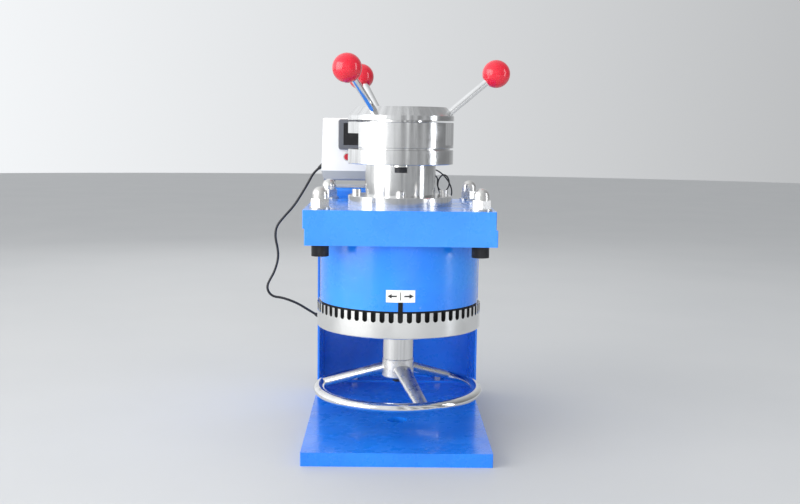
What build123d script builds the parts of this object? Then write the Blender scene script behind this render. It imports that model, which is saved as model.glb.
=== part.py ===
from build123d import *
import math
import os

os.makedirs("parts", exist_ok=True)

# Bench indexing machine. Millimetres, +Z up. The drive axis is the Z axis, the operator stands at -Y,
# and the origin is the centre of the base's through hole on the underside of the base.

# ---- Stand ---------------------------------------------------------------
plate_width = 260.0  # base, side to side
base_shift = -2.0  # base is welded on slightly to the left
head_plate_extra = 1.2  # both head plates are this much wider than the base
base_thickness = 19.0
base_front = 164.0  # drive axis to the front edge of the base
frame_rear = 268.0  # drive axis to the rear of the base, column and lower head plate
base_hole_radius = 15.0
column_inset = 2.0  # half the difference between the base's width and the column's
column_front = 124.0  # drive axis to the front edges of the cheeks
column_sheet = 3.0
foot_flange_depth = 30.0
foot_bolt_spacing = 143.0
head_height = 295.0  # table to the underside of the lower head plate
lower_plate_thickness = 23.0
upper_plate_thickness = 25.0
head_reach = 130.0  # drive axis to the front of both head plates and the rear of the upper one
upper_plate_shift = -1.6  # the upper plate is bolted on slightly to the left
lower_plate_shift = 0.8
corner_chamfer = 1.0
head_bore_radius = 38.0

# ---- Fasteners -----------------------------------------------------------
tie_bolt_inset = 20.5  # from the sides of the head plates
tie_radius = 8.0
tie_head_radius = 12.0
tie_head_height = 16.0
washer_radius = 15.0
washer_thickness = 3.0
dome_nut_flats = 24.0
dome_nut_hex_height = 11.3
dome_radius = 10.8
dome_nut_height = 27.8
hole_clearance = 0.75  # clearance hole over screw, on the radius
thread_clearance = 0.05  # plain bore standing in for a thread, on the radius
running_clearance = 0.05  # shaft in bush, on the radius
foot_bolt_radius = 5.0
foot_bolt_flats = 16.0
foot_bolt_head = 6.4
foot_hole_share = 0.75  # tapped depth of the base, as a share of its thickness
socket_share = 0.6  # hexagon socket to screw head, across corners and in depth
tie_thread_run = 4.0  # tie screw above the nut's hexagon
dome_nut_bore_run = 6.0  # nut's bore above its hexagon

# ---- Housing, bearing plate and pointer -----------------------------------
housing_radius = 116.0
housing_height = 91.5
housing_wall = 10.0
housing_top_wall = 12.0
bearing_plate_thickness = 25.5
bearing_plate_step = 2.0  # bearing plate is this much smaller than the housing, on the radius
spigot_height = 5.0
pointer_width = 6.5
pointer_shift = 1.1  # pointer and label to the right of the middle
pointer_thickness = 1.0
pointer_drop = 16.5  # pointer tip below the bottom of the housing
label_width = 40.0
label_height = 17.0
label_thickness = 0.3
label_rise = 13.0  # bottom of the label above the bottom of the housing
shaft_opening_radius = 18.0  # hole in the bearing plate above its bearing

# ---- Drive ----------------------------------------------------------------
drum_radius = 120.0
drum_wall = 2.5
drum_height = 36.1
drum_floor = 4.6
drum_gap = 2.0  # housing bottom to drum rim
slot_count = 60
slot_phase = 0.5  # degrees from the front, towards +X
slot_width = 7.2
slot_depth = 13.4
sleeve_radius = 23.2
sleeve_length = 50.4
hub_radius = 23.5
hub_height = 28.5
wheel_radius = 117.0  # centre line of the handwheel's ring
ring_half_width = 8.5
ring_half_height = 6.5
wheel_drop = 17.8  # hub bottom to the ring's centre line
spoke_azimuths = (17.0, 137.0, 257.0)  # from the front, towards +X
spoke_root_half_width = 13.0
spoke_root_half_height = 7.5
spoke_tip_half_width = 9.5
spoke_tip_half_height = 6.0
spindle_radius = 12.0
journal_radius = 15.0
collar_radius = 24.0
collar_height = 8.0
key_width = 8.0
key_height = 7.0
retaining_screw_radius = 4.0
retaining_flange_radius = 13.5  # wide enough to carry the hub
retaining_flange_thickness = 2.2
retaining_head_flats = 13.0
retaining_head_height = 5.3
retaining_screw_length = 24.0
retaining_hole_depth = 30.0
key_end = 3.0  # key to each end of the hub
key_fit = 0.1  # keyway over key, on the width
keyway_headroom = 0.4
spindle_recess = 1.0  # spindle's lower end inside the hub
spindle_chamfer = 1.5
spoke_root_rise = 0.5  # spoke's root up the hub, as a share of the hub's height
spoke_bury = 6.0  # spoke drawn into the hub before it is cut to fit
hub_chamfer = 2.0
drum_edge = 2.0

# ---- Bearings ---------------------------------------------------------------
bearing_outer_radius = 31.0
bearing_width = 16.0
race_thickness = 5.0
ball_count = 9
seal_height = 3.0
bearing_rise = 2.0  # seal to the bearing above it
thrust_outer_radius = 27.0
thrust_race_height = 3.0
thrust_ball_radius = 3.0
thrust_ball_count = 12
thrust_bore_gap = 4.0  # journal to the lower thrust race
thrust_collar_lip = 2.0  # upper thrust race beyond the collar
ball_clearance = 0.05

# ---- Feed -------------------------------------------------------------------
feed_travel = 8.0  # each way from rest
feed_nut_radius = 26.0
feed_nut_height = 32.0
feed_nut_lift = 29.5  # collar top to the bottom of the nut at rest
feed_flange_height = 8.0
screw_overrun = 55.0  # spindle stands above the nut at rest
plunger_radius = 20.0
plunger_bore_radius = 13.0
plunger_gap = 4.0  # plunger top to collet at the top of its travel
tip_radius = 11.5
tip_spigot_radius = 6.0
guide_pin_radius = 4.0
guide_slot_depth = 3.0
guide_slot_overrun = 2.0  # slot beyond the travel, each end
guide_slot_fit = 0.1  # slot over pin, on the radius
guide_pin_socket_depth = 4.0
guide_pin_end_gap = 0.3
spindle_headroom = 10.0  # plunger's bore above the raised spindle
tip_spigot_length = 12.0
tip_drop = 1.0  # top of the plunger's tip below the collet
tip_chamfer = 1.5
feed_nut_chamfer = 2.0

# ---- Neck and chuck -----------------------------------------------------------
flange_radius = 76.0
flange_thickness = 13.5
flange_screw_circle = 63.4
flange_screw_count = 4
flange_screw_radius = 4.0
flange_screw_head_radius = 6.5
flange_screw_head_height = 8.0
flange_screw_grip = 12.0
flange_hole_depth = 15.0
neck_spigot_length = 10.0
neck_radius = 51.4
neck_height = 45.6
neck_bore_radius = 30.0
bush_length = 20.0
lower_bush_rise = 3.0
upper_bush_drop = 3.6
edge_break = 0.8  # chamfer on turned edges
seat_radius = 76.5
seat_thickness = 20.9
seat_gap = 2.4
register_radius = 71.5
chuck_radius = 76.5
chuck_height = 36.6
chuck_notch_offset = 60.2  # drive axis to the flat left by the side notch
chuck_notch_height = 20.2
chuck_flat_offset = 73.2
chuck_flat_azimuth = 72.0
chuck_flat_rise = 4.6
clamp_bolt_circle = 64.0
clamp_bolt_count = 2
clamp_bolt_radius = 6.0
clamp_bolt_head_radius = 9.0
clamp_bolt_head_height = 8.0
clamp_bolt_grip = 20.0  # thread in the chuck body
clamp_hole_spare = 2.0
clamp_washer_radius = 12.4
clamp_washer_thickness = 2.5
counterbore_radius = 45.0
counterbore_depth = 26.0
collet_bore_radius = 12.5
collet_stem_radius = 27.9
collet_cone_base_radius = 34.0
collet_cone_top_radius = 26.0
collet_nose_radius = 24.0
collet_saw_cut = 1.5
collet_lift = 0.6  # collet's underside above the chuck's
collet_uncut = 8.0  # solid height below the saw cuts
collet_drop = 2.0  # nose below the chuck's top
cone_rise = 2.0  # counterbore floor to the start of the cone
cone_height = 14.0
ring_gap = 0.2  # pressure ring to the clamp nut's stem
cone_gap = 0.3
nut_gap = 2.5
nut_radius = 77.0
nut_rim_height = 6.5
nut_thickness = 19.4
nut_top_radius = 66.0
nut_opening_radius = 25.0
nut_stem_bore_radius = 37.0
lever_azimuths = (87.0, 207.0, 327.0)
lever_radius = 5.0
lever_depth = 12.0  # screwed into the clamp nut
lever_reach = 85.0  # clamp nut's chamfer to the centre of the ball
ball_radius = 20.0
ball_flat_share = 0.92  # flat around the lever's hole, as a share of the ball's radius
lever_hole_spare = 1.0

# ---- Read-out box ---------------------------------------------------------------
box_width = 155.6
box_centre_x = -47.2
box_depth = 100.0
box_front = 156.0  # drive axis to the front of the box
box_cover_height = 84.1
box_base_height = 15.2
box_flare = 2.4  # cover is this much narrower at its top than at its bottom, each side
box_base_taper = 4.2
box_wall = 2.5
box_foot_height = 11.7
box_foot_radius = 6.2
box_foot_taper = 4.0
box_foot_side = 6.6  # end of the support to a foot's centre
box_foot_inset = 16.0  # box's front or back to a foot's centre
box_corner = 3.0
box_base_chamfer = 2.0
support_height = 39.6  # top of the lower head plate to the top of the support
support_sheet = 3.0
support_front = 152.0
support_width = 143.6
meter_width = 96.0
meter_height = 48.0
meter_bezel_depth = 8.0
meter_body_width = 91.0
meter_body_height = 44.0
meter_body_depth = 70.0
window_width = 80.0
window_height = 35.0
window_thickness = 1.6
window_recess = 1.0
window_rise = 0.6
window_fit = 0.1
meter_corner = 4.0
meter_chamfer = 1.2
meter_cutout_fit = 0.3
meter_left = -97.5
meter_rise = 34.2  # bottom of the cover to the bottom of the bezel
button_radius = 5.0
button_x = -83.5
button_rise = 22.4
button_travel = 3.0
button_stand = 5.0  # cap stands out of the box at rest
button_collar_radius = 6.6
button_collar_thickness = 0.9
button_fit = 0.1
button_bush_radius = 5.7
button_hole_radius = 5.8
button_barrel_radius = 7.5
button_barrel_length = 16.0
button_barrel_end = 2.0
button_inside = 10.0  # button behind the box's face at rest
button_edge = 1.2

# ---- Sensor, leads and glands -----------------------------------------------------
sensor_radius = 6.0
sensor_length = 55.0
sensor_gap = 2.0  # sensor face to drum
sensor_bracket_y = 145.0
sensor_bracket_width = 40.0
sensor_nut_flats = 17.0
sensor_nut_height = 4.0
sensor_hole_fit = 0.2
sensor_chamfer = 1.5
bracket_overhang = 16.0  # sensor's axis to the bracket's lower end
bracket_flange = 24.0
lead_radius = 2.0
wire_radius = 1.0
gland_length = 10.0
gland_flange = 2.0
gland_flange_radius = 4.6
gland_stem_radius = 3.0
gland_root_radius = 3.8
gland_end_radius = 2.7
gland_run_in = 4.0  # gland's stem inside the wall
gland_hole_radius = 4.0
box_gland_tilt = 40.0  # below the horizontal, outwards
column_gland_tilt = -30.0
gland_y = 205.0
gland_rise = 8.0
column_gland_y = 190.0
column_gland_z = 140.0
wire_gland_length = 6.0
wire_gland_y = 166.0
wire_gland_radius = 3.0
wire_gland_taper = 8.0
wire_hole_radius = 2.0
neck_gland_radius = 3.5
neck_gland_bury = 0.5  # gland's base drawn into the neck before it is cut to fit
neck_gland_azimuth = 130.0
neck_gland_drop = 16.1  # below the top of the neck
clip_azimuth = 138.0
clip_circle = 69.0
clip_drop = 9.1
clip_ring_radius = 3.2
clip_wire_radius = 1.1
clip_foot = 7.0
clip_foot_thickness = 1.6
clip_stem = 2.4

# ---- Heights from the table up ------------------------------------------------------
head_width = plate_width + head_plate_extra
upper_plate_bottom = head_height + lower_plate_thickness
upper_plate_top = upper_plate_bottom + upper_plate_thickness
flange_top = upper_plate_top + flange_thickness
neck_top = flange_top + neck_height
seat_top = neck_top + seat_thickness
chuck_bottom = seat_top + seat_gap
chuck_top = chuck_bottom + chuck_height
chuck_floor = chuck_top - counterbore_depth
nut_bottom = chuck_top + nut_gap
nut_top = nut_bottom + nut_thickness
housing_bottom = head_height - housing_height
bearing_plate_bottom = housing_bottom - bearing_plate_thickness
drum_top = housing_bottom - drum_gap
drum_bottom = drum_top - drum_height
hub_top = drum_bottom - sleeve_length
hub_bottom = hub_top - hub_height
wheel_z = hub_bottom - wheel_drop
bearing_bottom = bearing_plate_bottom + seal_height + bearing_rise
thrust_seat = housing_bottom + spigot_height
thrust_ball_z = thrust_seat + thrust_race_height + thrust_ball_radius
collar_bottom = thrust_ball_z + thrust_ball_radius + thrust_race_height
collar_top = collar_bottom + collar_height
feed_nut_bottom = collar_top + feed_nut_lift
feed_nut_top = feed_nut_bottom + feed_nut_height
spindle_top = feed_nut_top + screw_overrun
collet_bottom = chuck_bottom + collet_lift
plunger_top = collet_bottom - feed_travel - plunger_gap
plunger_bore_top = spindle_top + feed_travel + spindle_headroom
lower_bush_bottom = upper_plate_top + lower_bush_rise
upper_bush_bottom = neck_top - upper_bush_drop - bush_length
guide_z = (lower_bush_bottom + bush_length + upper_bush_bottom) / 2
support_top = upper_plate_bottom + support_height
box_bottom = support_top + box_foot_height
cover_bottom = box_bottom + box_base_height
cover_top = cover_bottom + box_cover_height
cover_side = box_width / 2  # half width where the cover meets the lower shell
sensor_z = drum_top - slot_depth / 2
tie_positions = [
    (side * (plate_width / 2 - tie_bolt_inset), depth * (head_reach - tie_bolt_inset))
    for side in (-1, 1)
    for depth in (-1, 1)
]
chamfer_radius = (nut_radius + nut_top_radius) / 2
chamfer_z = (nut_bottom + nut_rim_height + nut_top) / 2
lever_slope = math.degrees(math.atan2(nut_radius - nut_top_radius, nut_thickness - nut_rim_height))


def save(part, name):
    part.label = name
    export_step(part, f"parts/{name}.step")


def radial(azimuth):
    """Horizontal direction at an azimuth from the front (-Y) towards +X."""
    angle = math.radians(azimuth)
    return Vector(math.sin(angle), -math.cos(angle), 0)


def ring_solid(outer, inner, bottom, top):
    """Plain ring about the drive axis."""
    with BuildPart() as ring:
        with BuildSketch(Plane.XY.offset(bottom)):
            Circle(outer)
            Circle(inner, mode=Mode.SUBTRACT)
        extrude(amount=top - bottom)
    return ring.part


def cap_screws(spots, radius, head_radius, head_height, seat, tip):
    """Socket head screws at (x, y) spots; the head sits at height seat, on the side away from tip."""
    away = 1 if seat > tip else -1
    with BuildPart() as screws:
        with BuildSketch(Plane.XY.offset(min(seat, tip))):
            with Locations(*spots):
                Circle(radius)
        extrude(amount=abs(seat - tip))
        with BuildSketch(Plane.XY.offset(seat)):
            with Locations(*spots):
                Circle(head_radius)
        extrude(amount=away * head_height)
        with BuildSketch(Plane.XY.offset(seat + away * head_height)):
            with Locations(*spots):
                RegularPolygon(head_radius * socket_share, 6)
        extrude(amount=-away * head_height * socket_share, mode=Mode.SUBTRACT)
    return screws.part


def circle_spots(circle, count, first=0.0):
    """Points (x, y) evenly spaced on a circle about the drive axis."""
    return [
        (direction.X * circle, direction.Y * circle)
        for direction in (radial(first + 360 * i / count) for i in range(count))
    ]


# ---- Stand -----------------------------------------------------------------------


def make_base_plate():
    with BuildPart() as plate:
        with BuildSketch():
            with Locations((base_shift, (frame_rear - base_front) / 2)):
                Rectangle(plate_width, frame_rear + base_front)
            Circle(base_hole_radius, mode=Mode.SUBTRACT)
        extrude(amount=base_thickness)
        chamfer(plate.edges().filter_by(Axis.Z).filter_by(GeomType.LINE), length=corner_chamfer)
        with BuildSketch(Plane.XY.offset(base_thickness)):
            with Locations(*foot_bolt_spots()):
                Circle(foot_bolt_radius + thread_clearance)
        extrude(amount=-foot_bolt_depth(), mode=Mode.SUBTRACT)
    save(plate.part, "base_plate")


def foot_bolt_spots():
    row = frame_rear - column_sheet - foot_flange_depth / 2
    return [(-foot_bolt_spacing / 2, row), (foot_bolt_spacing / 2, row)]


def foot_bolt_depth():
    return base_thickness * foot_hole_share


def make_column():
    half = plate_width / 2 - column_inset
    depth = frame_rear - column_front
    with BuildPart() as column:
        with BuildSketch(Plane.XY.offset(base_thickness)):
            with Locations((0, column_front + depth / 2)):
                Rectangle(2 * half, depth)
            with Locations((0, column_front + (depth - column_sheet) / 2)):
                Rectangle(2 * (half - column_sheet), depth - column_sheet, mode=Mode.SUBTRACT)
        extrude(amount=head_height - base_thickness)
        rear_corners = column.edges().filter_by(Axis.Z).group_by(Axis.Y)[-1]
        fillet(rear_corners, radius=column_sheet)
        with BuildSketch(Plane.XY.offset(base_thickness)):
            with Locations((0, frame_rear - column_sheet - foot_flange_depth / 2)):
                Rectangle(2 * (half - column_sheet), foot_flange_depth)
        extrude(amount=column_sheet)
        with BuildSketch(Plane.XY.offset(base_thickness)):
            with Locations(*foot_bolt_spots()):
                Circle(foot_bolt_radius + hole_clearance)
        extrude(amount=column_sheet, mode=Mode.SUBTRACT)
        with BuildSketch(Plane.YZ.offset(-half)):
            with Locations((column_gland_y, column_gland_z)):
                Circle(gland_stem_radius + thread_clearance)
        extrude(amount=column_sheet, mode=Mode.SUBTRACT)
    save(column.part, "column")


def make_foot_bolts():
    seat = base_thickness + column_sheet
    with BuildPart() as bolts:
        with BuildSketch(Plane.XY.offset(seat)):
            with Locations(*foot_bolt_spots()):
                RegularPolygon(foot_bolt_flats / 2, 6, major_radius=False)
        extrude(amount=foot_bolt_head)
        with BuildSketch(Plane.XY.offset(seat)):
            with Locations(*foot_bolt_spots()):
                Circle(foot_bolt_radius)
        extrude(amount=-column_sheet - foot_bolt_depth() + 1.0)
    save(bolts.part, "foot_bolts")


def make_lower_plate():
    with BuildPart() as plate:
        with BuildSketch(Plane.XY.offset(head_height)):
            with Locations((lower_plate_shift, (frame_rear - head_reach) / 2)):
                Rectangle(head_width, frame_rear + head_reach)
            Circle(head_bore_radius, mode=Mode.SUBTRACT)
            with Locations(*tie_positions):
                Circle(tie_radius + hole_clearance, mode=Mode.SUBTRACT)
        extrude(amount=lower_plate_thickness)
        chamfer(plate.edges().filter_by(Axis.Z).filter_by(GeomType.LINE), length=corner_chamfer)
    save(plate.part, "lower_head_plate")


def make_upper_plate():
    with BuildPart() as plate:
        with BuildSketch(Plane.XY.offset(upper_plate_bottom)):
            with Locations((upper_plate_shift, 0)):
                Rectangle(head_width, 2 * head_reach)
            Circle(head_bore_radius, mode=Mode.SUBTRACT)
            with Locations(*tie_positions):
                Circle(tie_radius + hole_clearance, mode=Mode.SUBTRACT)
        extrude(amount=upper_plate_thickness)
        outline = plate.edges().filter_by(GeomType.LINE).filter_by(Axis.Z)
        chamfer(outline, length=corner_chamfer)
        with BuildSketch(Plane.XY.offset(upper_plate_top)):
            with Locations(*flange_screw_spots()):
                Circle(flange_screw_radius + thread_clearance)
        extrude(amount=-flange_hole_depth, mode=Mode.SUBTRACT)
    save(plate.part, "upper_head_plate")


def flange_screw_spots():
    return circle_spots(flange_screw_circle, flange_screw_count)


def make_tie_screws():
    tip = upper_plate_top + washer_thickness + dome_nut_hex_height + tie_thread_run
    save(
        cap_screws(tie_positions, tie_radius, tie_head_radius, tie_head_height, head_height, tip),
        "tie_screws",
    )


def make_tie_washers():
    with BuildPart() as washers:
        with BuildSketch(Plane.XY.offset(upper_plate_top)):
            with Locations(*tie_positions):
                Circle(washer_radius)
                Circle(tie_radius + hole_clearance, mode=Mode.SUBTRACT)
        extrude(amount=washer_thickness)
    save(washers.part, "tie_washers")


def make_dome_nuts():
    seat = upper_plate_top + washer_thickness
    neck = dome_nut_height - dome_radius
    with BuildPart() as nuts:
        with BuildSketch(Plane.XY.offset(seat)):
            with Locations(*tie_positions):
                RegularPolygon(dome_nut_flats / 2, 6, major_radius=False, rotation=30)
        extrude(amount=dome_nut_hex_height)
        with BuildSketch(Plane.XY.offset(seat)):
            with Locations(*tie_positions):
                Circle(dome_radius)
        extrude(amount=neck)
        with Locations(*[(x, y, seat + neck) for x, y in tie_positions]):
            Sphere(dome_radius)
        with BuildSketch(Plane.XY.offset(seat)):
            with Locations(*tie_positions):
                Circle(tie_radius + thread_clearance)
        extrude(amount=dome_nut_hex_height + dome_nut_bore_run, mode=Mode.SUBTRACT)
    save(nuts.part, "dome_nuts")


# ---- Housing -----------------------------------------------------------------------


def make_housing():
    ceiling = head_height - housing_top_wall
    with BuildPart() as housing:
        with BuildSketch(Plane.XY.offset(housing_bottom)):
            Circle(housing_radius)
            Circle(housing_radius - housing_wall, mode=Mode.SUBTRACT)
        extrude(amount=housing_height)
        with BuildSketch(Plane.XY.offset(ceiling)):
            Circle(housing_radius - housing_wall / 2)
            Circle(head_bore_radius, mode=Mode.SUBTRACT)
        extrude(amount=housing_top_wall)
    save(housing.part, "cylinder_housing")


def make_bearing_plate():
    with BuildPart() as plate:
        with BuildSketch(Plane.XY.offset(bearing_plate_bottom)):
            Circle(housing_radius - bearing_plate_step)
            Circle(bearing_outer_radius, mode=Mode.SUBTRACT)
        extrude(amount=bearing_bottom + bearing_width - bearing_plate_bottom)
        with BuildSketch(Plane.XY.offset(bearing_bottom + bearing_width)):
            Circle(housing_radius - bearing_plate_step)
            Circle(shaft_opening_radius, mode=Mode.SUBTRACT)
        extrude(amount=housing_bottom - bearing_bottom - bearing_width)
        with BuildSketch(Plane.XY.offset(housing_bottom)):
            Circle(housing_radius - housing_wall - running_clearance)
            Circle(shaft_opening_radius, mode=Mode.SUBTRACT)
        extrude(amount=spigot_height)
    save(plate.part, "bearing_plate")


def face_strip(width, bottom, height, thickness):
    """Strip bent round the front of the housing."""
    with BuildPart() as strip:
        with BuildSketch(Plane.XY.offset(bottom)):
            Circle(housing_radius + thickness)
            Circle(housing_radius, mode=Mode.SUBTRACT)
            with Locations((pointer_shift, -housing_radius)):
                Rectangle(width, 4 * housing_wall, mode=Mode.INTERSECT)
        extrude(amount=height)
    return strip.part


def make_pointer():
    bottom = housing_bottom - pointer_drop
    height = label_rise + pointer_drop
    save(face_strip(pointer_width, bottom, height, pointer_thickness), "pointer")


def make_pointer_label():
    bottom = housing_bottom + label_rise
    save(face_strip(label_width, bottom, label_height, label_thickness), "pointer_label")


# ---- Drive -----------------------------------------------------------------------


def make_index_drum():
    with BuildPart() as slot:
        with BuildSketch(Plane.XZ.offset(drum_radius - 2 * drum_wall)):
            with Locations((0, drum_top - slot_depth + slot_width / 2)):
                Circle(slot_width / 2)
            with Locations((0, drum_top - slot_depth / 2 + slot_width / 4)):
                Rectangle(slot_width, slot_depth - slot_width / 2)
        extrude(amount=4 * drum_wall)
    with BuildPart() as drum:
        with BuildSketch(Plane.XY.offset(drum_bottom)):
            Circle(drum_radius)
        extrude(amount=drum_height)
        fillet(drum.edges().group_by(Axis.Z)[0], radius=drum_edge)
        with BuildSketch(Plane.XY.offset(drum_bottom + drum_floor)):
            Circle(drum_radius - drum_wall)
        extrude(amount=drum_height, mode=Mode.SUBTRACT)
        with BuildSketch(Plane.XY.offset(drum_bottom)):
            Circle(spindle_radius + running_clearance)
        extrude(amount=drum_floor, mode=Mode.SUBTRACT)
        with PolarLocations(0, slot_count, start_angle=slot_phase):
            add(slot.part, mode=Mode.SUBTRACT)
    save(drum.part, "index_drum")


def make_drive_sleeve():
    with BuildPart() as sleeve:
        with BuildSketch(Plane.XY.offset(hub_top)):
            Circle(sleeve_radius)
            Circle(spindle_radius + running_clearance, mode=Mode.SUBTRACT)
        extrude(amount=sleeve_length)
    save(sleeve.part, "drive_sleeve")


def make_handwheel_hub():
    with BuildPart() as hub:
        with BuildSketch(Plane.XY.offset(hub_bottom)):
            Circle(hub_radius)
        extrude(amount=hub_height)
        chamfer(hub.edges().group_by(Axis.Z)[0], length=hub_chamfer)
        chamfer(hub.edges().group_by(Axis.Z)[-1], length=hub_chamfer / 2)
        with BuildSketch(Plane.XY.offset(hub_bottom)):
            Circle(spindle_radius + running_clearance)
            with Locations((0, spindle_radius)):
                Rectangle(key_width + key_fit, key_height + keyway_headroom)
        extrude(amount=hub_height, mode=Mode.SUBTRACT)
    save(hub.part, "handwheel_hub")


def make_hub_key():
    with BuildPart() as key:
        with BuildSketch(Plane.XY.offset(hub_bottom + key_end)):
            with Locations((0, spindle_radius)):
                Rectangle(key_width, key_height)
        extrude(amount=hub_height - 2 * key_end)
    save(key.part, "hub_key")


def make_handwheel_spokes():
    root_z = hub_bottom + spoke_root_rise * hub_height
    with BuildPart() as spokes:
        for azimuth in spoke_azimuths:
            outward = radial(azimuth)
            across = outward.cross(Vector(0, 0, 1))
            root = outward * (hub_radius - spoke_bury) + Vector(0, 0, root_z)
            tip = outward * wheel_radius + Vector(0, 0, wheel_z)
            along = tip - root
            with BuildSketch(Plane(origin=root, x_dir=across, z_dir=along)):
                Ellipse(spoke_root_half_width, spoke_root_half_height)
            with BuildSketch(Plane(origin=tip, x_dir=across, z_dir=along)):
                Ellipse(spoke_tip_half_width, spoke_tip_half_height)
            loft()
        with Locations((0, 0, hub_bottom + hub_height / 2)):
            Cylinder(hub_radius, 3 * hub_height, mode=Mode.SUBTRACT)
        add(wheel_ring(), mode=Mode.SUBTRACT)
    save(spokes.part, "handwheel_spokes")


def wheel_ring():
    with BuildPart() as ring:
        with BuildSketch(Plane.XZ):
            with Locations((wheel_radius, wheel_z)):
                Ellipse(ring_half_width, ring_half_height)
        revolve(axis=Axis.Z)
    return ring.part


def make_handwheel_ring():
    save(wheel_ring(), "handwheel_ring")


def make_spindle():
    shoulder = drum_bottom + drum_floor
    lower_end = hub_bottom + spindle_recess
    with BuildPart() as spindle:
        with BuildSketch(Plane.XY.offset(lower_end)):
            Circle(spindle_radius)
        extrude(amount=spindle_top - lower_end)
        with BuildSketch(Plane.XY.offset(shoulder)):
            Circle(journal_radius)
        extrude(amount=collar_bottom - shoulder)
        with BuildSketch(Plane.XY.offset(collar_bottom)):
            Circle(collar_radius)
        extrude(amount=collar_height)
        with BuildSketch(Plane.XY.offset(hub_bottom + key_end)):
            with Locations((0, spindle_radius)):
                Rectangle(key_width + key_fit, key_height)
        extrude(amount=hub_height - 2 * key_end, mode=Mode.SUBTRACT)
        with BuildSketch(Plane.XY.offset(lower_end)):
            Circle(retaining_screw_radius + thread_clearance)
        extrude(amount=retaining_hole_depth, mode=Mode.SUBTRACT)
        chamfer(spindle.edges().group_by(Axis.Z)[-1], length=spindle_chamfer)
    save(spindle.part, "spindle")


def make_retaining_screw():
    with BuildPart() as screw:
        with BuildSketch(Plane.XY.offset(hub_bottom)):
            Circle(retaining_screw_radius)
        extrude(amount=retaining_screw_length)
        with BuildSketch(Plane.XY.offset(hub_bottom)):
            Circle(retaining_flange_radius)
        extrude(amount=-retaining_flange_thickness)
        with BuildSketch(Plane.XY.offset(hub_bottom - retaining_flange_thickness)):
            RegularPolygon(retaining_head_flats / 2, 6, major_radius=False)
        extrude(amount=-retaining_head_height)
    save(screw.part, "retaining_screw")


# ---- Bearings and seal ---------------------------------------------------------------


def make_radial_bearing():
    top = bearing_bottom + bearing_width
    outer_inside = bearing_outer_radius - race_thickness
    inner_outside = journal_radius + race_thickness
    ball = (outer_inside - inner_outside) / 2
    save(ring_solid(bearing_outer_radius, outer_inside, bearing_bottom, top), "bearing_outer_race")
    save(ring_solid(inner_outside, journal_radius, bearing_bottom, top), "bearing_inner_race")
    with BuildPart() as balls:
        with Locations((0, 0, (bearing_bottom + top) / 2)):
            with PolarLocations((outer_inside + inner_outside) / 2, ball_count):
                Sphere(ball - ball_clearance)
    save(balls.part, "bearing_balls")


def make_thrust_bearing():
    inner = journal_radius + thrust_bore_gap
    low_top = thrust_seat + thrust_race_height
    save(ring_solid(thrust_outer_radius, inner, thrust_seat, low_top), "thrust_race_lower")
    high_bottom = thrust_ball_z + thrust_ball_radius
    high_outer = collar_radius + thrust_collar_lip
    save(ring_solid(high_outer, journal_radius, high_bottom, collar_bottom), "thrust_race_upper")
    with BuildPart() as balls:
        with Locations((0, 0, thrust_ball_z)):
            with PolarLocations((thrust_outer_radius + inner) / 2, thrust_ball_count):
                Sphere(thrust_ball_radius - ball_clearance)
    save(balls.part, "thrust_balls")


def make_shaft_seal():
    top = bearing_plate_bottom + seal_height
    inner = journal_radius + running_clearance
    save(ring_solid(bearing_outer_radius, inner, bearing_plate_bottom, top), "shaft_seal")


# ---- Feed -----------------------------------------------------------------------


def make_feed_nut():
    with BuildPart() as nut:
        with BuildSketch(Plane.XY.offset(feed_nut_bottom)):
            Circle(feed_nut_radius)
            Circle(spindle_radius + running_clearance, mode=Mode.SUBTRACT)
        extrude(amount=feed_nut_height)
        chamfer(nut.edges().group_by(Axis.Z)[0].sort_by(SortBy.LENGTH)[-1], length=feed_nut_chamfer)
    save(nut.part, "feed_nut")


def make_plunger():
    flange_top_z = feed_nut_top + feed_flange_height
    slot_half = guide_pin_radius + feed_travel + guide_slot_overrun
    with BuildPart() as plunger:
        with BuildSketch(Plane.XY.offset(feed_nut_top)):
            Circle(feed_nut_radius)
        extrude(amount=feed_flange_height)
        with BuildSketch(Plane.XY.offset(flange_top_z)):
            Circle(plunger_radius)
        extrude(amount=plunger_top - flange_top_z)
        with BuildSketch(Plane.XY.offset(feed_nut_top)):
            Circle(plunger_bore_radius)
        extrude(amount=plunger_bore_top - feed_nut_top, mode=Mode.SUBTRACT)
        with BuildSketch(Plane.XY.offset(plunger_top)):
            Circle(tip_spigot_radius + thread_clearance)
        extrude(amount=-tip_spigot_length - 1.0, mode=Mode.SUBTRACT)
        with BuildSketch(Plane.XZ.offset(-plunger_radius)):
            with Locations((0, guide_z)):
                Rectangle(2 * (guide_pin_radius + guide_slot_fit), 2 * slot_half)
        extrude(amount=guide_slot_depth, mode=Mode.SUBTRACT)
    save(plunger.part, "plunger")


def make_plunger_tip():
    top = collet_bottom - tip_drop
    with BuildPart() as tip:
        with BuildSketch(Plane.XY.offset(plunger_top)):
            Circle(tip_radius)
        extrude(amount=top - plunger_top)
        chamfer(tip.edges().group_by(Axis.Z)[-1], length=tip_chamfer)
        with BuildSketch(Plane.XY.offset(plunger_top)):
            Circle(tip_spigot_radius)
        extrude(amount=-tip_spigot_length)
    save(tip.part, "plunger_tip")


def make_neck_bushes():
    with BuildPart() as bushes:
        for bottom in (lower_bush_bottom, upper_bush_bottom):
            with BuildSketch(Plane.XY.offset(bottom)):
                Circle(neck_bore_radius)
                Circle(plunger_radius + running_clearance, mode=Mode.SUBTRACT)
            extrude(amount=bush_length)
    save(bushes.part, "neck_bushes")


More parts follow.
